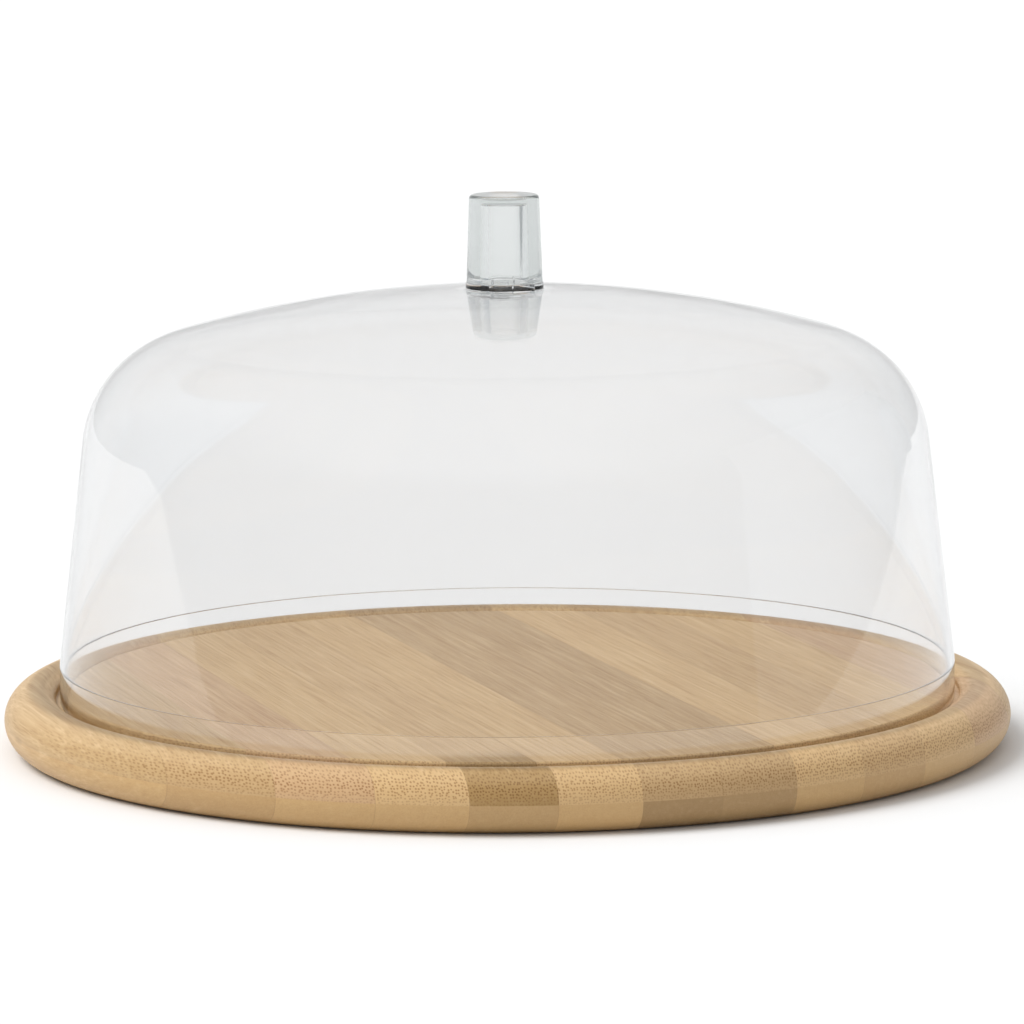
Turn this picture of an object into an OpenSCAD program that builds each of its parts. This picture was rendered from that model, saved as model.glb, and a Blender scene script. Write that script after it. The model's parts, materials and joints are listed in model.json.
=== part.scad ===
// Cake stand: a round laminated bamboo board with a clear lift-off dome and a twist-lock knob.
// Millimetres, +Z up, origin at the middle of the board's underside. The front of the stand faces -Y.

/* [Board] */
// Diameter of the board
board_d = 330; // [320:1:340]
// Thickness of the board, which is two equal layers of staves
board_t = 20; // [18:0.5:24]
// Width of the rim, from the edge of the board to the groove
rim_w = 16.7; // [15:0.1:18]
// How far the middle of the board lies below the crest of the rim
middle_drop = 0.4; // [0.2:0.1:1]

/* [Groove] */
// Width of the ring groove that the dome stands in
groove_w = 4.4; // [4:0.1:6]
// Depth of the groove below the middle of the board
groove_depth = 4.1; // [3:0.1:5]

/* [Staves] */
// Width of one bamboo stave
stave_w = 25.8; // [24:0.1:28]
// Angle of the staves to the front-to-back direction
grain_angle = 18; // [0:1:45]
// Distance from the middle of the board to the nearest glued joint
joint_shift = -10.2; // [-12:0.1:0]

/* [Dome] */
// Height of the dome from its foot to the top of the crown
dome_h = 133.8; // [125:0.1:140]
// Thickness of the clear wall
wall_t = 1.6; // [1.4:0.1:2]
// Clearance between the dome's foot and the middle of the board
foot_gap = 0.5; // [0.3:0.1:0.8]
// Height of the thicker band round the foot
foot_h = 12; // [8:0.5:16]
// Thickness of the band
foot_t = 2.3; // [2.2:0.1:2.6]
// Lean of the wall towards the inside, in degrees
wall_lean = 6.7; // [5:0.1:8]
// Radius of the shoulder, in side view
shoulder_r = 38.8; // [30:0.1:45]
// Radius of the crown, in side view
crown_r = 400; // [350:5:450]

/* [Knob] */
// Height of the knob
knob_h = 28.5; // [26:0.5:32]
// Diameter of the knob at its foot
knob_foot_d = 24.8; // [24:0.1:26]
// Diameter of the knob at its top
knob_top_d = 22.8; // [22:0.1:24]
// Diameter of the hollow in the knob, at the foot
hollow_foot_d = 10.8; // [10:0.1:11]
// Thickness of the knob above its hollow
knob_top_t = 3; // [2:0.1:5]
// How far the knob turns to unlock, in degrees
twist = 50; // [45:1:55]

/* [Hidden] */
$fn = 96;
EPS = 0.01;

// Board
board_r = board_d / 2;
layer_t = board_t / 2;
edge_r = board_t / 2;
crest_r = board_r - edge_r;
middle_z = board_t - middle_drop;
groove_out_r = board_r - rim_w;
groove_in_r = groove_out_r - groove_w;
groove_z = middle_z - groove_depth;
middle_edge_r = 0.8;
middle_edge = [
    for (a = [0:30:90]) [groove_in_r, middle_z] - middle_edge_r * [1 - cos(a), 1 - sin(a)]
];

// Staves: outer staves reach past the edge of the board, which then trims them
staves = 13;
first_joint = -5;
overreach = 40;

// Dome
foot_in_r = groove_in_r + foot_gap;
band_z = groove_z + foot_h;
wall_foot_r = foot_in_r + foot_t;
crown_z = groove_z + dome_h;
crown_mid_z = crown_z - crown_r;
wall_out = [cos(wall_lean), sin(wall_lean)];
wall_reach = wall_out * [wall_foot_r, band_z];
shoulder_turn = asin((wall_reach - shoulder_r - crown_mid_z * sin(wall_lean)) / (crown_r - shoulder_r))
    - wall_lean;
crown_out = [sin(shoulder_turn), cos(shoulder_turn)];
shoulder_mid = [0, crown_mid_z] + (crown_r - shoulder_r) * crown_out;

// Seat of the knob, and the knob
seat_h = 2.2;
seat_r = knob_foot_d / 2 + 0.3;
seat_z = crown_z + seat_h;
knob_edge_r = 1.3;
knob_foot_edge = 0.3;
hollow_taper = 0.6;
mouth_h = 1.3;
mouth_d = 15.8;

// Bayonet lugs under the knob, and their slots in the crown
lug_in_r = 5.7;
stem_out_r = 7.3;
lug_out_r = 9.4;
lug_span = 40;
lug_t = 1.6;
lug_gap = 0.3;
lug_side_gap = 3;
lug_angles = [-121, 59];
lug_top_z = crown_z - wall_t - 0.35;
lug_root_h = 2;
slot_h = 10;

function two_digits(n) = n < 10 ? str("0", n) : str(n);
function stave_name(layer, n) = str(layer, "_stave_", two_digits(n));

// Tones of the staves, from one side of the board to the other
BAMBOO = [
    [0.86, 0.74, 0.52],
    [0.83, 0.69, 0.46],
    [0.80, 0.66, 0.49],
    [0.62, 0.50, 0.30],
];
top_tones = [0, 1, 2, 0, 3, 0, 1, 1, 0, 1, 0, 2, 0];
bottom_tones = [0, 1, 0, 0, 0, 0, 1, 1, 0, 1, 0, 0, 1];
CLEAR = [0.86, 0.90, 0.90, 0.35];

// Half section of the board: flat underside, half-round edge, ring groove, middle with a rounded edge
module board_section() {
    difference() {
        union() {
            square([crest_r, layer_t]);
            square([groove_out_r + 2, groove_z]);
            translate([crest_r, edge_r]) circle(r = edge_r);
            square([groove_in_r - middle_edge_r, middle_z]);
            polygon([[0, 0], [groove_in_r, 0], each middle_edge]);
        }
        translate([groove_in_r, groove_z]) square([groove_w, board_t]);
    }
}

// Stave n of a layer: the strip between two glued joints, cut out of that layer of the round board
module stave(n, z) {
    left = n == 1 ? -board_r - overreach : joint_shift + (first_joint + n - 2) * stave_w;
    right = n == staves ? board_r + overreach : joint_shift + (first_joint + n - 1) * stave_w;
    intersection() {
        rotate_extrude()
            intersection() {
                board_section();
                translate([0, z]) square([board_r + 1, layer_t]);
            }
        rotate([0, 0, grain_angle])
            translate([left, -board_r - overreach, z - 1])
                cube([right - left, 2 * (board_r + overreach), layer_t + 2]);
    }
}

module top_stave(n) {
    color(BAMBOO[top_tones[n - 1]]) stave(n, layer_t);
}

module bottom_stave(n) {
    color(BAMBOO[bottom_tones[n - 1]]) stave(n, 0);
}

// Half section of everything inside the dome's outer face, or inside a face that lies inset deeper
module dome_section(inset, from_z) {
    shoulder = shoulder_r - inset;
    crown = crown_r - inset;
    wall_end = shoulder_mid + shoulder * wall_out;
    crown_end = shoulder_mid + shoulder * crown_out;
    wall_start_r = (wall_reach - inset - from_z * sin(wall_lean)) / cos(wall_lean);
    polygon([[0, from_z], [wall_start_r, from_z], wall_end, shoulder_mid, crown_end, [0, crown_end[1]]]);
    translate(shoulder_mid) circle(r = shoulder);
    intersection() {
        translate([0, crown_mid_z]) circle(r = crown, $fn = 720);
        translate([0, crown_end[1] - 1]) square([crown_end[0], dome_h]);
    }
}

// The foot band: upright inside and outside, with the inner ledge at its upper end
module foot_section() {
    translate([foot_in_r, groove_z]) square([foot_t, foot_h]);
}

// Flat outline of part of a ring, from one angle and over a span of less than half a turn
module ring_sector(in_r, out_r, from, span) {
    reach = 2 * out_r;
    intersection() {
        difference() {
            circle(r = out_r);
            circle(r = in_r);
        }
        polygon([[0, 0], for (a = [from, from + span / 2, from + span]) reach * [cos(a), sin(a)]]);
    }
}

// Slots in the crown: a narrow run for the lug's stem, with a wide end where the whole lug drops through
module bayonet_slots() {
    span = lug_span + 2 * lug_side_gap;
    translate([0, 0, seat_z - slot_h / 2])
        linear_extrude(slot_h)
            for (a = lug_angles) {
                from = a - lug_side_gap;
                ring_sector(lug_in_r - lug_gap, stem_out_r + lug_gap, from, span + twist);
                ring_sector(lug_in_r - lug_gap, lug_out_r + lug_gap, from + twist, span);
            }
}

module dome_shell() {
    color(CLEAR)
        difference() {
            rotate_extrude() {
                difference() {
                    dome_section(0, band_z);
                    translate([0, -EPS]) dome_section(wall_t, band_z);
                }
                foot_section();
                translate([0, crown_z - wall_t / 2]) square([seat_r, wall_t / 2 + seat_h]);
            }
            bayonet_slots();
        }
}

// Part of a ring, from one angle and over a span
module ring_part(in_r, out_r, z, h, from, span) {
    translate([0, 0, z])
        rotate([0, 0, from])
            rotate_extrude(angle = span)
                translate([in_r, 0])
                    square([out_r - in_r, h]);
}

module knob_section() {
    foot_r = knob_foot_d / 2;
    top_r = knob_top_d / 2;
    lean = (foot_r - top_r) / knob_h;
    edge_r_at = top_r + knob_edge_r * lean;
    difference() {
        union() {
            polygon([
                [0, 0],
                [foot_r - knob_foot_edge, 0],
                [foot_r, knob_foot_edge],
                [edge_r_at, knob_h - knob_edge_r],
                [0, knob_h - knob_edge_r],
            ]);
            square([edge_r_at - knob_edge_r, knob_h]);
            translate([edge_r_at - knob_edge_r, knob_h - knob_edge_r]) circle(r = knob_edge_r);
        }
        polygon([
            [0, -1],
            [hollow_foot_d / 2, -1],
            [hollow_foot_d / 2, 0],
            [(hollow_foot_d - hollow_taper) / 2, knob_h - knob_top_t],
            [0, knob_h - knob_top_t],
        ]);
        translate([0, -1]) square([mouth_d / 2, mouth_h + 1]);
    }
}

module knob() {
    color(CLEAR) {
        translate([0, 0, seat_z]) rotate_extrude() knob_section();
        for (a = lug_angles) {
            ring_part(lug_in_r, stem_out_r, lug_top_z - lug_t, seat_z + lug_root_h - lug_top_z + lug_t, a, lug_span);
            ring_part(lug_in_r, lug_out_r, lug_top_z - lug_t, lug_t, a, lug_span);
        }
    }
}

for (n = [1:staves])
    top_stave(n);
for (n = [1:staves])
    bottom_stave(n);
dome_shell();
knob();
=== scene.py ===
"""Cake stand: a laminated bamboo board, a clear lift-off dome and a hollow clear knob. Metres, +Z up."""

import json
import math

import bmesh
import bpy
from mathutils import Matrix, Vector


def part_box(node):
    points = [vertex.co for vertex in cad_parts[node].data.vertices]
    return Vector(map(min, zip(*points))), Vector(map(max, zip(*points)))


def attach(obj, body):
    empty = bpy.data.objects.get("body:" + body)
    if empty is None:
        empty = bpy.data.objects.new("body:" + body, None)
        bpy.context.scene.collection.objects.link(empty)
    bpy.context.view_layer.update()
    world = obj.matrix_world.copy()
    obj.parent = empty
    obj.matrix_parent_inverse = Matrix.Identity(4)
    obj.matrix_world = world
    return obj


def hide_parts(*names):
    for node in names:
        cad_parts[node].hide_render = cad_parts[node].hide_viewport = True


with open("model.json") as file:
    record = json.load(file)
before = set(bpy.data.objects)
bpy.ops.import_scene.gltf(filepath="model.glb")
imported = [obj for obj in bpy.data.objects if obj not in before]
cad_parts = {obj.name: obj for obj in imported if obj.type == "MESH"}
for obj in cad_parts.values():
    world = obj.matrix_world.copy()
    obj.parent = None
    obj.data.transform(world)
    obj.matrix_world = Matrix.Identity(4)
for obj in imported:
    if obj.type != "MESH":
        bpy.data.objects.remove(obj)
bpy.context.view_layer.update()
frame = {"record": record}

MM = 0.001

# ---------------------------------------------------------------- sizes in millimetres, as in the CAD model
CREST_R = 154.99
EDGE_R = 10.0
MIDDLE_Z = 19.6
MIDDLE_EDGE_R = 0.8
GROOVE_IN_R = 143.9
GROOVE_OUT_R = 148.3
GROOVE_Z = 15.5
STAVES = 13
FIRST_JOINT = -5
GRAIN_ANGLE = 18.0
STAVE_W = 25.8
JOINT_SHIFT = -10.2
LAYER_T = 10.0

foot_low, foot_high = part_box("dome_shell")
FOOT_Z = foot_low.z / MM
SEAT_Z = foot_high.z / MM
SEAT_H = 2.2
SEAT_R = 12.7
CROWN_Z = SEAT_Z - SEAT_H
CROWN_R = 400.0
SHOULDER_R = 38.8
WALL_T = 1.6
WALL_LEAN = math.radians(6.7)
FOOT_IN_R = 144.4
FOOT_T = 2.3
FOOT_H = 12.0

KNOB_H = 28.5
KNOB_FOOT_R = 12.4
KNOB_TOP_R = 11.4
KNOB_EDGE_R = 1.3
HOLLOW_FOOT_R = 5.4
HOLLOW_TOP_R = 5.1
HOLLOW_H = 25.5
MOUTH_R = 7.9
MOUTH_H = 1.3

LUG_ANGLES = (-121, 59)
LUG_SPAN = 40
LUG_GAP = 0.3
LUG_SIDE_GAP = 3
TWIST = 50
LUG_IN_R = 5.7
STEM_OUT_R = 7.3
LUG_OUT_R = 9.4
LUG_T = 1.6
LUG_TOP_Z = CROWN_Z - WALL_T - 0.35

# One segment per degree, so that slots and lugs fall on the grid
SEGMENTS = 360
# Radii of the rings across the board's flat faces: the middle, and the faces between and under the layers
MIDDLE_RINGS = (0.0, 20.0, 45.0, 70.0, 95.0, 118.0, 136.0)
LAYER_RINGS = (150.0, 100.0, 50.0, 0.0)
# Points closer than this, in metres, are one point
SAME = 1e-7
# Angle between faces, in degrees, above which an edge is shaded as sharp
SHARP = 32.0
# What keeps a clear face from lying in the same plane as the face that it stands on
REST_GAP = 0.05
# A stretch of a section longer than this gets a point this close to a corner this sharp
LONG_STRETCH = 0.9
SUPPORT = 0.06
CORNER = math.radians(3.5)

# ---------------------------------------------------------------- colours and light
# The studio's greys from left to right, each with its place, and the tone low down behind the camera
SIDES = (
    (0.0, (0.50, 0.54, 0.58)),
    (0.22, (0.88, 0.88 * 1.003, 0.88 * 1.006)),
    (0.58, (0.88, 0.88 * 1.003, 0.88 * 1.006)),
    (0.82, (0.62, 0.62 * 1.003, 0.62 * 1.006)),
    (1.0, (0.28, 0.31, 0.34)),
)
LOW_FRONT = (0.26, 0.235, 0.21)
WORLD_STRENGTH = 0.95
FLOOR_WHITE = (0.80, 0.80, 0.80)
CARD_GREY = (0.42, 0.43, 0.44)
# Which way the key light shines, its strength, and its angular size in degrees
KEY_DIRECTION = (0.75, 0.15, -1.0)
KEY_STRENGTH = 2.3
KEY_SPREAD = 40

# The two tones that a stave drifts between
TONES = {
    "bamboo_light": ((0.63, 0.425, 0.208), (0.58, 0.385, 0.182)),
    "bamboo_tan": ((0.585, 0.39, 0.19), (0.53, 0.345, 0.163)),
    "bamboo_rose": ((0.585, 0.382, 0.204), (0.535, 0.340, 0.176)),
    "bamboo_dark": ((0.40, 0.25, 0.095), (0.355, 0.215, 0.078)),
}
# Staves that are darker than their tone
SHADES = {
    "top_stave_01": 0.86,
    "top_stave_02": 0.92,
    "top_stave_07": 0.89,
    "top_stave_08": 0.87,
    "bottom_stave_05": 0.86,
    "bottom_stave_07": 0.74,
    "bottom_stave_08": 0.78,
}
# What the lower layer keeps of the same tones, as painted shade on the board's lower half, and of the dots
LOW_PAINTED_SHADE = (0.92, 0.89, 0.82)
LOW_DOTS = 0.06
# What a fibre, a streak and a bundle's cut end keep of the colour under them, and what the crest keeps
# under its painted shade
FIBRE_KEEPS = (0.42, 0.24, 0.10)
STREAK_KEEPS = (0.60, 0.42, 0.25)
BUNDLE_KEEPS = (0.42, 0.27, 0.12)
CREST_SHADE_KEEPS = (0.70, 0.70, 0.68)
# Pale streaks, the painted highlight on the rim's outer slope, the painted light on the groove's inner
# edge, and the glue in the joints
PALE_STREAK = (0.80, 0.60, 0.36)
SLOPE_HIGHLIGHT = (0.86, 0.64, 0.38)
EDGE_PAINTED_LIGHT = (0.90, 0.70, 0.44)
GLUE = (0.25, 0.14, 0.06)
GLUE_W = 0.12

# What keeps the board's top face within the upper layer, and what numbers that layer's staves apart
LAYER_EASE = 1.0001
LAYER_STEP = 31.0
# Fibre bundles to the metre across a stave, and the smallest and largest dot as a share of that pitch
BUNDLES = 1080.0
DOT_SIZES = (0.31, 0.40)
# How far a bundle strays sideways, in metres, and how often to the metre
SWAY = 0.0022
SWAYS = 16.0
# Noise cycles to the metre across, along and up a stave
FIBRES = (2400.0, 30.0, 2400.0)
STREAKS = (620.0, 17.0, 620.0)
DRIFTS = (70.0, 5.0, 60.0)
DASHES = (900.0, 55.0, 900.0)
PATCHES = (240.0, 34.0, 240.0)
# Where a dark stave turns to its rear tone, in metres from the middle along the grain
REAR_FROM, REAR_TO = -0.135, -0.112
# Middle of the painted highlight on the rim's outer slope and of the painted shade on its crest, outwards
# from the crest
SLOPE_HIGHLIGHT_AT = 5.2
CREST_SHADE_AT = -0.8

# Clear plastic: noise cycles to the metre of the mould's ripples and of the haze, and the refractive index
RIPPLES = (26.0, 26.0, 18.0)
HAZES = (60.0, 60.0, 60.0)
PLASTIC_IOR = 1.49
# Tint of a surface, colour and density of the thickness, and what goes straight through to light the board
DOME_PLASTIC = ((0.920, 0.923, 0.926), (0.72, 0.80, 0.81), 4.0, (0.95, 0.95, 0.95))
KNOB_PLASTIC = ((0.99, 0.99, 0.99), (0.80, 0.82, 0.815), 110.0, (0.92, 0.93, 0.93))
# Above this height, a ray that has been reflected more often than this in the plastic goes straight on
ECHO_Z = 149.0
MOST_ECHOES = 1.5


# ---------------------------------------------------------------- camera, floor and light
def make_camera():
    eye = Vector((0.0019, -1.9756, 0.3655))
    pitch = math.radians(8.347)
    roll = math.radians(-0.39)
    data = bpy.data.cameras.new("camera")
    data.sensor_width = 36.0
    data.lens = 214.4
    data.clip_end = 100.0
    camera = bpy.data.objects.new("camera", data)
    bpy.context.scene.collection.objects.link(camera)
    camera.matrix_world = (
        Matrix.Translation(eye)
        @ Matrix.Rotation(math.radians(90) - pitch, 4, "X")
        @ Matrix.Rotation(roll, 4, "Z")
    )
    bpy.context.scene.camera = camera


def make_sun(name, direction, strength, spread):
    data = bpy.data.lights.new(name, "SUN")
    data.energy = strength
    data.angle = math.radians(spread)
    lamp = bpy.data.objects.new(name, data)
    bpy.context.scene.collection.objects.link(lamp)
    lamp.rotation_euler = Vector(direction).to_track_quat("-Z", "Y").to_euler()
    lamp.visible_glossy = False
    lamp.visible_transmission = False


def make_world():
    """A pale studio: greyer to the sides, greyest on the right, and darker low down behind the camera."""
    world = bpy.data.worlds.new("studio")
    bpy.context.scene.world = world
    world.use_nodes = True
    room = Paint(tree=world.node_tree)
    where = room.node("ShaderNodeTexCoord").outputs["Generated"]
    axes = room.node("ShaderNodeSeparateXYZ", Vector=where)
    side = room.node("ShaderNodeValToRGB", Fac=room.span(axes.outputs["X"], -1.0, 1.0))
    side.color_ramp.interpolation = "EASE"
    stops = side.color_ramp.elements
    stops[0].color = (*SIDES[0][1], 1.0)
    stops[1].color = (*SIDES[-1][1], 1.0)
    for position, grey in SIDES[1:-1]:
        stops.new(position).color = (*grey, 1.0)
    low = room.span(axes.outputs["Z"], 0.12, 0.55, 1.0, 0.0, smooth=True)
    front = room.span(axes.outputs["Y"], 0.1, -0.5, 0.0, 1.0, smooth=True)
    dark = room.times(room.times(low, front), 0.62)
    colour = room.mix(dark, side.outputs[0], LOW_FRONT)
    light = room.node("ShaderNodeBackground", Color=colour, Strength=WORLD_STRENGTH)
    room.node("ShaderNodeOutputWorld", Surface=light.outputs[0])


def make_floor():
    bpy.ops.mesh.primitive_plane_add(size=60.0)
    floor = bpy.context.object
    floor.name = "floor"
    paint = Paint("floor_white")
    paint.finish(base=FLOOR_WHITE, roughness=0.9, specular=0.0)
    floor.data.materials.append(paint.material)


def make_card():
    """An upright grey card right of the view, which shades that side and shows in the clear edges."""
    upright = (0.0, math.radians(90), 0.0)
    bpy.ops.mesh.primitive_plane_add(size=1.0, location=(1.15, 0.35, 0.42), rotation=upright)
    card = bpy.context.object
    card.name = "card"
    card.scale = (0.8, 1.9, 1.0)
    card.visible_camera = False
    card.visible_shadow = False
    paint = Paint("card_grey")
    paint.finish(base=CARD_GREY, roughness=0.9, specular=0.0)
    card.data.materials.append(paint.material)


# ---------------------------------------------------------------- materials
class Paint:
    """A node tree that is built one node at a time: a new material's, or one that is there already."""

    def __init__(self, name=None, tree=None):
        if name:
            self.material = bpy.data.materials.new(name)
            self.material.use_nodes = True
            tree = self.material.node_tree
        self.tree = tree
        self.tree.nodes.clear()

    def node(self, kind, settings=None, **inputs):
        made = self.tree.nodes.new(kind)
        for key, value in (settings or {}).items():
            setattr(made, key, value)
        for key, value in inputs.items():
            self.feed(made.inputs[key.replace("_", " ")], value)
        return made

    def feed(self, socket, value):
        if isinstance(value, bpy.types.NodeSocket):
            self.tree.links.new(value, socket)
        elif isinstance(value, tuple) and socket.type == "RGBA" and len(value) == 3:
            socket.default_value = (*value, 1.0)
        else:
            socket.default_value = value

    def math(self, operation, a, b=0.0):
        made = self.tree.nodes.new("ShaderNodeMath")
        made.operation = operation
        self.feed(made.inputs[0], a)
        self.feed(made.inputs[1], b)
        return made.outputs[0]

    def times(self, a, b):
        return self.math("MULTIPLY", a, b)

    def plus(self, a, b):
        return self.math("ADD", a, b)

    def minus(self, a, b):
        return self.math("SUBTRACT", a, b)

    def apart(self, a, b):
        """How far a value is from another, on either side."""
        return self.math("ABSOLUTE", self.minus(a, b))

    def span(self, value, low, high, to_low=0.0, to_high=1.0, smooth=False):
        made = self.tree.nodes.new("ShaderNodeMapRange")
        made.interpolation_type = "SMOOTHSTEP" if smooth else "LINEAR"
        for index, number in enumerate((value, low, high, to_low, to_high)):
            self.feed(made.inputs[index], number)
        return made.outputs[0]

    def mix(self, share, a, b, blend="MIX"):
        made = self.tree.nodes.new("ShaderNodeMix")
        made.data_type = "RGBA"
        made.blend_type = blend
        self.feed(made.inputs[0], share)
        self.feed(made.inputs[6], a)
        self.feed(made.inputs[7], b)
        return made.outputs[2]

    def place(self, turn=0.0, scale=(1.0, 1.0, 1.0)):
        """Object coordinates, turned about Z and scaled."""
        where = self.node("ShaderNodeTexCoord").outputs["Object"]
        turned = self.node("ShaderNodeMapping", Vector=where, Rotation=(0.0, 0.0, turn))
        return self.node("ShaderNodeMapping", Vector=turned.outputs[0], Scale=scale).outputs[0]

    def noise(self, vector, detail=2.0, rough=0.5):
        made = self.node("ShaderNodeTexNoise", Vector=vector, Scale=1.0, Detail=detail, Roughness=rough)
        return made.outputs["Fac"]

    def finish(self, base, roughness, specular=0.5, normal=None, **more):
        shader = self.node("ShaderNodeBsdfPrincipled", Base_Color=base, Roughness=roughness)
        shader.inputs["Specular IOR Level"].default_value = specular
        if normal is not None:
            self.feed(shader.inputs["Normal"], normal)
        for key, value in more.items():
            self.feed(shader.inputs[key.replace("_", " ")], value)
        out = self.node("ShaderNodeOutputMaterial")
        self.tree.links.new(shader.outputs[0], out.inputs["Surface"])
        return shader, out


def bamboo(name, light, dark, low_layer, rear=None):
    """Bamboo with straight fibres: bundles show as dots on cut ends and as fine lines along the grain.

    A stave with a rear tone has its own tone only towards the front end."""
    paint = Paint(name)
    turn = math.radians(-GRAIN_ANGLE)
    axes = paint.node("ShaderNodeSeparateXYZ", Vector=paint.place(turn))
    across, along, height = axes.outputs[0], axes.outputs[1], axes.outputs[2]

    # which stave a point is in, how far it is from the glued joints, and how high in its layer
    count = paint.math("DIVIDE", paint.minus(across, JOINT_SHIFT * MM), STAVE_W * MM)
    level = paint.math("DIVIDE", height, LAYER_T * MM * LAYER_EASE)
    number = paint.plus(paint.math("FLOOR", count), paint.times(paint.math("FLOOR", level), LAYER_STEP))
    chance = paint.node("ShaderNodeTexWhiteNoise", {"noise_dimensions": "1D"}, W=number).outputs["Value"]
    glue = paint.span(paint.math("PINGPONG", count, 0.5), 0.0, GLUE_W / STAVE_W, 1.0, 0.0)
    in_layer = paint.math("FRACT", level)

    # how squarely the surface cuts the fibres
    facing = paint.node("ShaderNodeVectorMath", {"operation": "DOT_PRODUCT"})
    paint.feed(facing.inputs[0], paint.node("ShaderNodeNewGeometry").outputs["Normal"])
    facing.inputs[1].default_value = (math.sin(turn), math.cos(turn), 0.0)
    squarely = paint.math("ABSOLUTE", facing.outputs["Value"])
    end_grain = paint.span(squarely, 0.10, 0.62, 0.0, 1.0, smooth=True)
    lengthways = paint.span(end_grain, 0.0, 1.0, 1.0, 0.22)

    dots = bundle_dots(paint, across, along, height, number)
    dashed = paint.span(paint.noise(paint.place(turn, DASHES)), 0.36, 0.60, 0.03, 0.40)
    dots = paint.times(dots, paint.span(end_grain, 0.0, 1.0, dashed, 1.0))
    patchy = paint.span(paint.noise(paint.place(turn, PATCHES)), 0.2, 0.55, 0.6, 1.0)
    crowd = paint.times(paint.span(in_layer, -0.1, 0.50, 0.30, 1.0, smooth=True), patchy)
    if low_layer:
        crowd = paint.times(crowd, LOW_DOTS)
    dots = paint.times(dots, crowd)

    # slow drift of the tone, fine fibres, dark and pale streaks, and the dots
    fine = paint.noise(paint.place(turn, FIBRES), 3.0, 0.6)
    streak = paint.noise(paint.place(turn, STREAKS), 4.0, 0.65)
    drift = paint.noise(paint.place(turn, DRIFTS), 3.0, 0.55)
    colour = paint.mix(paint.plus(paint.times(drift, 0.5), paint.times(chance, 0.5)), light, dark)
    if rear:
        back = paint.plus(along, paint.times(paint.minus(streak, 0.5), 0.02))
        colour = paint.mix(paint.span(back, REAR_FROM, REAR_TO, 0.0, 1.0, smooth=True), colour, rear)
    colour = paint.mix(paint.span(fine, 0.35, 0.70, 0.0, 0.13), colour, FIBRE_KEEPS, "MULTIPLY")
    dark_streak = paint.times(lengthways, paint.span(streak, 0.50, 0.72, 0.0, 0.34))
    colour = paint.mix(dark_streak, colour, STREAK_KEEPS, "MULTIPLY")
    pale_streak = paint.times(lengthways, paint.span(streak, 0.48, 0.30, 0.0, 0.35))
    colour = paint.mix(pale_streak, colour, PALE_STREAK)
    colour = paint.mix(paint.times(dots, 0.70), colour, BUNDLE_KEEPS, "MULTIPLY")
    # painted highlight, painted shade and painted light on the upper layer's rim
    if not low_layer:
        colour = rim_painted_light(paint, colour, across, along, end_grain)
    colour = paint.mix(paint.times(glue, 0.40), colour, GLUE)

    relief = paint.minus(paint.times(fine, 0.30), paint.times(dots, 0.45))
    relief = paint.plus(relief, paint.times(paint.times(streak, lengthways), 0.35))
    relief = paint.minus(relief, paint.times(glue, 0.8))
    bump = paint.node("ShaderNodeBump", Strength=0.35, Distance=0.00012, Height=relief)
    rough = paint.span(paint.plus(fine, dots), 0.2, 1.6, 0.40, 0.56)
    paint.finish(base=colour, roughness=rough, specular=0.4, normal=bump.outputs[0])
    return paint.material


def bundle_dots(paint, across, along, height, number):
    """Fibre bundles in cross section, straight along the stave but for a slow drift of their own."""
    sway_place = paint.node("ShaderNodeCombineXYZ", X=paint.times(along, SWAYS), Y=number, Z=0.0)
    sway = paint.node("ShaderNodeTexNoise", Vector=sway_place.outputs[0], Scale=1.0, Detail=2.0)
    swayed = paint.node("ShaderNodeVectorMath", {"operation": "MULTIPLY_ADD"})
    paint.feed(swayed.inputs[0], sway.outputs["Color"])
    swayed.inputs[1].default_value = (SWAY, SWAY, 0.0)
    flat = paint.node("ShaderNodeCombineXYZ", X=across, Y=height, Z=0.0)
    paint.feed(swayed.inputs[2], flat.outputs[0])
    bundle = paint.node(
        "ShaderNodeTexVoronoi",
        {"feature": "F1", "voronoi_dimensions": "2D"},
        Vector=swayed.outputs[0],
        Scale=BUNDLES,
        Randomness=0.66,
    )
    draw = paint.node("ShaderNodeSeparateXYZ", Vector=bundle.outputs["Color"]).outputs[0]
    near = paint.math("DIVIDE", bundle.outputs["Distance"], paint.span(draw, 0, 1, *DOT_SIZES))
    return paint.span(near, 0.5, 1.1, 1.0, 0.0, smooth=True)


def rim_painted_light(paint, colour, across, along, end_grain):
    """Painted light on the rim: a painted highlight on its outer slope, painted shade on its crest, and
    painted light on the groove's inner edge, which lies in shade.
    """
    squares = paint.plus(paint.math("POWER", across, 2.0), paint.math("POWER", along, 2.0))
    reach = paint.math("SQRT", squares)
    # painted highlight: the rim's outer slope paler, where it catches the light
    from_highlight = paint.apart(reach, (CREST_R + SLOPE_HIGHLIGHT_AT) * MM)
    highlight = paint.span(from_highlight, 0.0010, 0.0040, 0.12, 0.0, smooth=True)
    colour = paint.mix(highlight, colour, SLOPE_HIGHLIGHT)
    # painted shade: the rim's crest darker
    from_crest = paint.apart(reach, (CREST_R + CREST_SHADE_AT) * MM)
    crest_shade = paint.span(from_crest, 0.0014, 0.0042, 0.75, 0.0, smooth=True)
    colour = paint.mix(crest_shade, colour, CREST_SHADE_KEEPS, "MULTIPLY")
    # painted light: the groove's inner edge paler, where it lies in shade
    from_edge = paint.apart(reach, GROOVE_IN_R * MM)
    edge = paint.times(paint.span(from_edge, 0.0006, 0.0012, 0.20, 0.0), end_grain)
    return paint.mix(edge, colour, EDGE_PAINTED_LIGHT)


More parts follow.
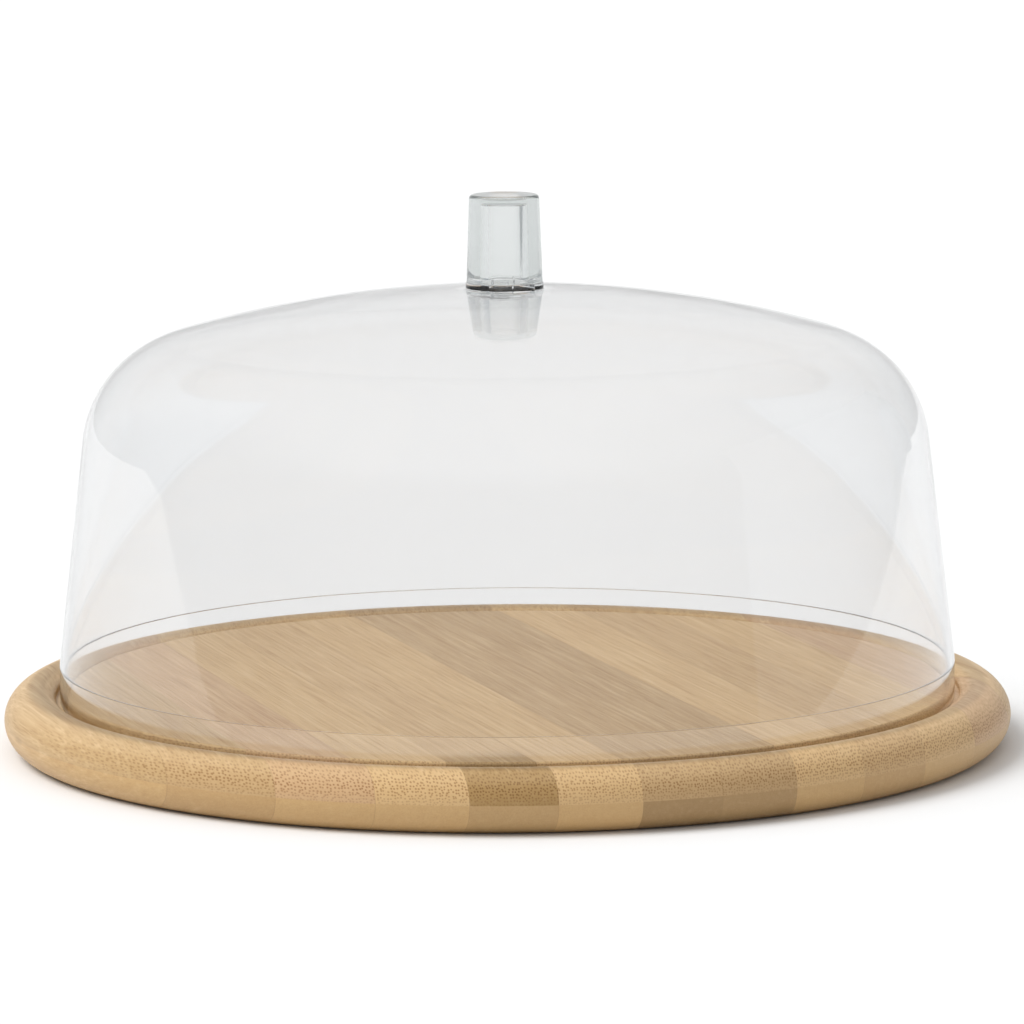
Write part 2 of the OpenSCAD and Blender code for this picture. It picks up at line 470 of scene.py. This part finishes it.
def clear_plastic(name, tint, thick, density, passed):
    """Polished clear plastic with faint ripples from the mould, and the tint of its thickness.

    Diffuse and shadow rays go straight through it, dimmed, so that what lies under it is lit softly.
    So do rays that have been reflected several times in the knob and its seat, which would end up black."""
    paint = Paint(name)
    ripple = paint.noise(paint.place(0.0, RIPPLES))
    haze = paint.noise(paint.place(0.0, HAZES), 4.0, 0.6)
    bump = paint.node("ShaderNodeBump", Strength=0.07, Distance=0.0006, Height=ripple)
    rough = paint.span(haze, 0.3, 0.75, 0.008, 0.03)
    shader, out = paint.finish(
        base=tint, roughness=rough, normal=bump.outputs[0], Transmission_Weight=1.0, IOR=PLASTIC_IOR
    )
    straight = paint.node("ShaderNodeBsdfTransparent", Color=passed)
    rays = paint.node("ShaderNodeLightPath")
    height = paint.node("ShaderNodeSeparateXYZ", Vector=paint.place()).outputs[2]
    echoing = paint.math("GREATER_THAN", rays.outputs["Glossy Depth"], MOST_ECHOES)
    echoing = paint.times(echoing, paint.math("GREATER_THAN", height, ECHO_Z * MM))
    lighting = paint.math("MAXIMUM", rays.outputs["Is Shadow Ray"], rays.outputs["Is Diffuse Ray"])
    both = paint.node("ShaderNodeMixShader")
    paint.feed(both.inputs[0], paint.math("MAXIMUM", lighting, echoing))
    paint.feed(both.inputs[1], shader.outputs[0])
    paint.feed(both.inputs[2], straight.outputs[0])
    paint.feed(out.inputs["Surface"], both.outputs[0])
    absorb = paint.node("ShaderNodeVolumeAbsorption", Color=thick, Density=density)
    paint.feed(out.inputs["Volume"], absorb.outputs[0])
    return paint.material


# ---------------------------------------------------------------- turned shapes
def arc(centre, radius, start, end, steps):
    """Points on an arc from start to end, in degrees from the outward direction."""
    points = []
    for step in range(steps + 1):
        angle = math.radians(start + (end - start) * step / steps)
        points.append((centre[0] + radius * math.cos(angle), centre[1] + radius * math.sin(angle)))
    return points


def supported(profile):
    """The profile with a point close to each end of a long stretch, which keeps its shading flat."""
    points = [profile[0]]
    for index in range(1, len(profile)):
        start, end = Vector(profile[index - 1]), Vector(profile[index])
        length = (end - start).length
        if length > LONG_STRETCH:
            if index > 1 and (start - Vector(profile[index - 2])).angle(end - start, 0.0) > CORNER:
                points.append(tuple(start.lerp(end, SUPPORT / length)))
            more = index + 1 < len(profile)
            if more and (Vector(profile[index + 1]) - end).angle(end - start, 0.0) > CORNER:
                points.append(tuple(end.lerp(start, SUPPORT / length)))
        points.append(profile[index])
    return points


class Turned:
    """A mesh turned about Z on a one-degree grid, with cells that can be left out and walls put in."""

    def __init__(self, mesh=None):
        self.mesh = mesh or bmesh.new()

    def ring(self, r, z):
        if r == 0.0:
            return [self.mesh.verts.new((0.0, 0.0, z * MM))] * SEGMENTS
        points = []
        for step in range(SEGMENTS):
            angle = math.radians(step)
            points.append(self.mesh.verts.new((r * MM * math.cos(angle), r * MM * math.sin(angle), z * MM)))
        return points

    def rings(self, profile):
        return [self.ring(r, z) for r, z in supported(profile)]

    def skin(self, low, high, skipped=()):
        """Faces between two rings, apart from the skipped degrees."""
        for step in range(SEGMENTS):
            if step not in skipped:
                self.cell(low, high, step)

    def cell(self, low, high, step):
        after = (step + 1) % SEGMENTS
        corners = []
        for corner in (low[step], low[after], high[after], high[step]):
            if corner not in corners:
                corners.append(corner)
        self.mesh.faces.new(corners)

    def radial(self, rings, step):
        """A flat wall along one degree line, with a corner on each of four rings."""
        self.mesh.faces.new([ring[step % SEGMENTS] for ring in rings])

    def cut(self, across, offset, side):
        """Takes away what lies beyond a vertical plane, and closes the cut face."""
        geometry = self.mesh.verts[:] + self.mesh.edges[:] + self.mesh.faces[:]
        cut = bmesh.ops.bisect_plane(
            self.mesh,
            geom=geometry,
            dist=SAME * 10,
            plane_co=across * offset * MM,
            plane_no=across * side,
            clear_outer=True,
        )
        edges = [item for item in cut["geom_cut"] if isinstance(item, bmesh.types.BMEdge)]
        bmesh.ops.edgeloop_fill(self.mesh, edges=edges)

    def made(self, name):
        bmesh.ops.remove_doubles(self.mesh, verts=self.mesh.verts, dist=SAME)
        bmesh.ops.recalc_face_normals(self.mesh, faces=self.mesh.faces)
        data = bpy.data.meshes.new(name)
        self.mesh.to_mesh(data)
        self.mesh.free()
        for face in data.polygons:
            face.use_smooth = True
        data.set_sharp_from_angle(angle=math.radians(SHARP))
        piece = bpy.data.objects.new(name, data)
        bpy.context.scene.collection.objects.link(piece)
        return piece


def degrees(start, span):
    """The one-degree steps of a run round the axis."""
    return {(start + step) % SEGMENTS for step in range(span)}


def shoulder_middle():
    """Centre of the shoulder's arc, and its angle from upright where it meets the crown."""
    wall_r, band_z = FOOT_IN_R + FOOT_T, FOOT_Z + FOOT_H
    reach = math.cos(WALL_LEAN) * wall_r + math.sin(WALL_LEAN) * band_z
    middle_z = CROWN_Z - CROWN_R
    arm = CROWN_R - SHOULDER_R
    turn = math.asin((reach - SHOULDER_R - middle_z * math.sin(WALL_LEAN)) / arm) - WALL_LEAN
    return (arm * math.sin(turn), middle_z + arm * math.cos(turn)), turn


def dome_face(inset, from_r, band_r):
    """Outer or inner face of the dome, from a radius on the crown down to the foot band."""
    middle, turn = shoulder_middle()
    crown_middle = (0.0, CROWN_Z - CROWN_R)
    crown = CROWN_R - inset
    start = 90.0 - math.degrees(math.asin(from_r / crown))
    points = arc(crown_middle, crown, start, 90.0 - math.degrees(turn), 28)
    points += arc(middle, SHOULDER_R - inset, 90.0 - math.degrees(turn), math.degrees(WALL_LEAN), 28)[1:]
    band_z = FOOT_Z + FOOT_H
    last_r, last_z = points[-1]
    steps = 10
    for step in range(1, steps + 1):
        share = step / steps
        points.append((last_r + (band_r - last_r) * share, last_z + (band_z - last_z) * share))
    return points


def dome_profile():
    """Outer face, foot and inner face, from one edge of the slot region round to the other."""
    wall_r, band_z = FOOT_IN_R + FOOT_T, FOOT_Z + FOOT_H
    seat_edge = 0.25
    seat_root = 0.5
    root_gap = 0.3
    foot_edge = 0.4
    ledge_edge = 0.25
    ledge_gap = 0.05
    slot_margin = 3.0
    outer = arc((SEAT_R - seat_edge, SEAT_Z - seat_edge), seat_edge, 90, 0, 4)
    crown_at = CROWN_Z - CROWN_R + math.sqrt(CROWN_R**2 - SEAT_R**2)
    outer += arc((SEAT_R + seat_root, crown_at + seat_root), seat_root, 180, 268, 5)
    outer += dome_face(0.0, SEAT_R + seat_root + root_gap, wall_r)
    low_z = FOOT_Z + REST_GAP
    outer += [(wall_r, band_z - FOOT_H * share) for share in (0.3, 0.6, 0.9)]
    outer += arc((wall_r - foot_edge, low_z + foot_edge), foot_edge, 0, -90, 5)
    outer += arc((FOOT_IN_R + foot_edge, low_z + foot_edge), foot_edge, -90, -180, 5)
    inner_wall_r = wall_r - WALL_T / math.cos(WALL_LEAN)
    inner = [(FOOT_IN_R, low_z + FOOT_H * share) for share in (0.25, 0.5, 0.75)]
    inner += arc((FOOT_IN_R + ledge_edge, band_z - ledge_edge), ledge_edge, 180, 90, 4)
    inner += [(inner_wall_r - ledge_gap, band_z)]
    inner += list(reversed(dome_face(WALL_T, LUG_OUT_R + LUG_GAP + slot_margin, inner_wall_r)))
    return outer + inner


def make_dome():
    """The dome as one closed shell, with the two bayonet slots through the crown's seat."""
    shape = Turned()
    slot_radii = [LUG_IN_R - LUG_GAP, STEM_OUT_R + LUG_GAP, LUG_OUT_R + LUG_GAP]
    inner_crown = CROWN_R - WALL_T

    def inner_z(r):
        return CROWN_Z - CROWN_R + math.sqrt(inner_crown**2 - r**2)

    top = [shape.ring(0.0, SEAT_Z)] + [shape.ring(r, SEAT_Z) for r in slot_radii]
    under = [shape.ring(0.0, inner_z(0.0))] + [shape.ring(r, inner_z(r)) for r in slot_radii]
    narrow, wide = set(), set()
    for angle in LUG_ANGLES:
        narrow |= degrees(angle - LUG_SIDE_GAP, LUG_SPAN + 2 * LUG_SIDE_GAP + TWIST)
        wide |= degrees(angle - LUG_SIDE_GAP + TWIST, LUG_SPAN + 2 * LUG_SIDE_GAP)
    for face in (top, under):
        shape.skin(face[0], face[1])
        shape.skin(face[1], face[2], narrow)
        shape.skin(face[2], face[3], wide)
    for step in range(SEGMENTS):
        if step in narrow:
            shape.cell(top[1], under[1], step)
        if step in narrow - wide:
            shape.cell(top[2], under[2], step)
        if step in wide:
            shape.cell(top[3], under[3], step)
    for angle in LUG_ANGLES:
        first = angle - LUG_SIDE_GAP
        turned = first + TWIST
        last = turned + LUG_SPAN + 2 * LUG_SIDE_GAP
        shape.radial((top[1], top[2], under[2], under[1]), first)
        shape.radial((top[2], top[3], under[3], under[2]), turned)
        shape.radial((top[1], top[2], under[2], under[1]), last)
        shape.radial((top[2], top[3], under[3], under[2]), last)
    body = [top[3]] + shape.rings(dome_profile()) + [under[3]]
    for low, high in zip(body, body[1:]):
        shape.skin(low, high)
    piece = shape.made("clear_dome_shell")
    piece.data.materials.append(clear_plastic("dome_plastic", *DOME_PLASTIC))
    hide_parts("dome_shell")
    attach(piece, "dome")


def knob_outside():
    """Outer face of the knob, from the middle of its top down to the ceiling of its mouth."""
    top_z = SEAT_Z + KNOB_H
    foot_edge = 0.35
    mouth_edge = 0.2
    foot_z = SEAT_Z + REST_GAP
    low_z = foot_z + foot_edge
    side_top_z = top_z - KNOB_EDGE_R
    side_top_r = KNOB_TOP_R + KNOB_EDGE_R * (KNOB_FOOT_R - KNOB_TOP_R) / KNOB_H
    points = [(0.0, top_z), (4.0, top_z), (8.0, top_z)]
    points += arc((side_top_r - KNOB_EDGE_R, side_top_z), KNOB_EDGE_R, 90, 2, 8)
    steps = 8
    for step in range(1, steps + 1):
        share = step / steps
        r = side_top_r + (KNOB_FOOT_R - side_top_r) * share
        points.append((r, side_top_z + (low_z - side_top_z) * share))
    points += arc((KNOB_FOOT_R - foot_edge, low_z), foot_edge, 0, -90, 4)[1:]
    points += arc((MOUTH_R + mouth_edge, foot_z + mouth_edge), mouth_edge, -90, -180, 3)
    return points + [(MOUTH_R, SEAT_Z + MOUTH_H)]


def knob_hollow():
    """The hollow's wall, from the ceiling of the mouth up to the middle of the hollow's top."""
    edge = 0.5
    mouth_z, top_z = SEAT_Z + MOUTH_H, SEAT_Z + HOLLOW_H
    points = [(HOLLOW_FOOT_R, mouth_z)]
    steps = 8
    for step in range(1, steps + 1):
        share = step / steps
        r = HOLLOW_FOOT_R + (HOLLOW_TOP_R - HOLLOW_FOOT_R) * share
        points.append((r, mouth_z + (top_z - edge - mouth_z) * share))
    points += arc((HOLLOW_TOP_R - edge, top_z - edge), edge, 0, 90, 5)[1:]
    return points + [(0.0, top_z)]


def make_knob():
    """The hollow knob, with the two lugs that hang from its foot."""
    shape = Turned()
    mouth_z = SEAT_Z + MOUTH_H
    outer = shape.rings(knob_outside())
    inner = shape.rings(knob_hollow())
    for rings in (outer, inner):
        for low, high in zip(rings, rings[1:]):
            shape.skin(low, high)

    # the mouth's ceiling, with the lugs hanging from it
    stem = shape.ring(STEM_OUT_R, mouth_z)
    root = shape.ring(LUG_IN_R, mouth_z)
    lugs = set()
    for angle in LUG_ANGLES:
        lugs |= degrees(angle, LUG_SPAN)
    shape.skin(outer[-1], stem)
    shape.skin(stem, root, lugs)
    shape.skin(root, inner[0])
    low_z, high_z = LUG_TOP_Z - LUG_T, LUG_TOP_Z
    in_low = shape.ring(LUG_IN_R, low_z)
    out_low = shape.ring(LUG_OUT_R, low_z)
    out_high = shape.ring(LUG_OUT_R, high_z)
    stem_high = shape.ring(STEM_OUT_R, high_z)
    in_high = shape.ring(LUG_IN_R, high_z)
    stem_low = shape.ring(STEM_OUT_R, low_z)
    hanging = (root, in_high, in_low, stem_low, out_low, out_high, stem_high, stem)
    for step in lugs:
        for before, after in zip(hanging, hanging[1:]):
            shape.cell(before, after, step)
    for angle in LUG_ANGLES:
        for step in (angle, angle + LUG_SPAN):
            shape.radial((root, stem, stem_high, in_high), step)
            shape.radial((in_high, stem_high, stem_low, in_low), step)
            shape.radial((stem_high, out_high, out_low, stem_low), step)
    bmesh.ops.delete(shape.mesh, geom=[v for v in shape.mesh.verts if not v.link_faces], context="VERTS")
    piece = shape.made("clear_knob_cap")
    piece.data.materials.append(clear_plastic("knob_plastic", *KNOB_PLASTIC))
    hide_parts("knob")
    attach(piece, "knob")


# ---------------------------------------------------------------- the board's staves
def layer_profiles():
    """Half sections of the two layers, from the axis out and back."""
    lip_z = EDGE_R + math.sqrt(EDGE_R**2 - (CREST_R - GROOVE_OUT_R) ** 2)
    lip = 0.35
    root = 0.4
    eased = (GROOVE_IN_R - MIDDLE_EDGE_R, MIDDLE_Z - MIDDLE_EDGE_R)
    top = [(r, MIDDLE_Z) for r in MIDDLE_RINGS]
    top += arc(eased, MIDDLE_EDGE_R, 90, 0, 6)
    top += arc((GROOVE_IN_R + root, GROOVE_Z + root), root, 180, 270, 3)
    top += arc((GROOVE_OUT_R - root, GROOVE_Z + root), root, -90, 0, 3)
    top += [(GROOVE_OUT_R, lip_z - lip), (GROOVE_OUT_R + 0.4 * lip, lip_z - 0.3 * lip)]
    first = math.degrees(math.acos((GROOVE_OUT_R + 1.3 * lip - CREST_R) / EDGE_R))
    crest = arc((CREST_R, EDGE_R), EDGE_R, first, 0, 30)
    bottom = arc((CREST_R, EDGE_R), EDGE_R, 0, -90, 20)
    middle = [(r, LAYER_T) for r in LAYER_RINGS]
    return (
        ("top", top + crest + middle),
        ("bottom", list(reversed(middle)) + bottom + [(r, 0.0) for r in LAYER_RINGS[1:]]),
    )


def stave_paint(name, slot, low_layer, shade):
    """Bamboo in a slot's tones, darkened for one stave, and with painted shade on the lower layer."""
    # the lower layer's tones are darkened as painted shade
    keeps = [shade * (keep if low_layer else 1.0) for keep in LOW_PAINTED_SHADE]
    light, dark = (tuple(keep * channel for keep, channel in zip(keeps, tone)) for tone in TONES[slot])
    rear = TONES["bamboo_tan"][0] if slot == "bamboo_dark" else None
    return bamboo(name, light, dark, low_layer, rear)


def make_board():
    """Two layers of staves: each layer is turned whole, and then cut at the glued joints."""
    slots = {row["node"]: row["material_slot"] for row in frame["record"]["subparts"]}
    across = Vector((math.cos(math.radians(GRAIN_ANGLE)), math.sin(math.radians(GRAIN_ANGLE)), 0.0))
    made = {}
    for layer, profile in layer_profiles():
        whole = Turned()
        rings = whole.rings(profile)
        for low, high in zip(rings, rings[1:]):
            whole.skin(low, high)
        bmesh.ops.remove_doubles(whole.mesh, verts=whole.mesh.verts, dist=SAME)
        for number in range(1, STAVES + 1):
            part = Turned(whole.mesh.copy())
            if number > 1:
                part.cut(across, JOINT_SHIFT + (FIRST_JOINT + number - 2) * STAVE_W, -1)
            if number < STAVES:
                part.cut(across, JOINT_SHIFT + (FIRST_JOINT + number - 1) * STAVE_W, 1)
            node = f"{layer}_stave_{number:02d}"
            slot = slots[node]
            shade = SHADES.get(node, 1.0)
            key = (slot, layer, shade)
            if key not in made:
                made[key] = stave_paint(f"{slot}_{layer}_{len(made)}", slot, layer == "bottom", shade)
            piece = part.made(f"{layer}_stave_bamboo_{number:02d}")
            piece.data.materials.append(made[key])
            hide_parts(node)
            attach(piece, "board")
        whole.mesh.free()


def main():
    scene = bpy.context.scene
    scene.view_settings.view_transform = "Standard"
    make_camera()
    make_world()
    make_floor()
    make_card()
    make_sun("key", KEY_DIRECTION, KEY_STRENGTH, KEY_SPREAD)
    make_board()
    make_dome()
    make_knob()


main()
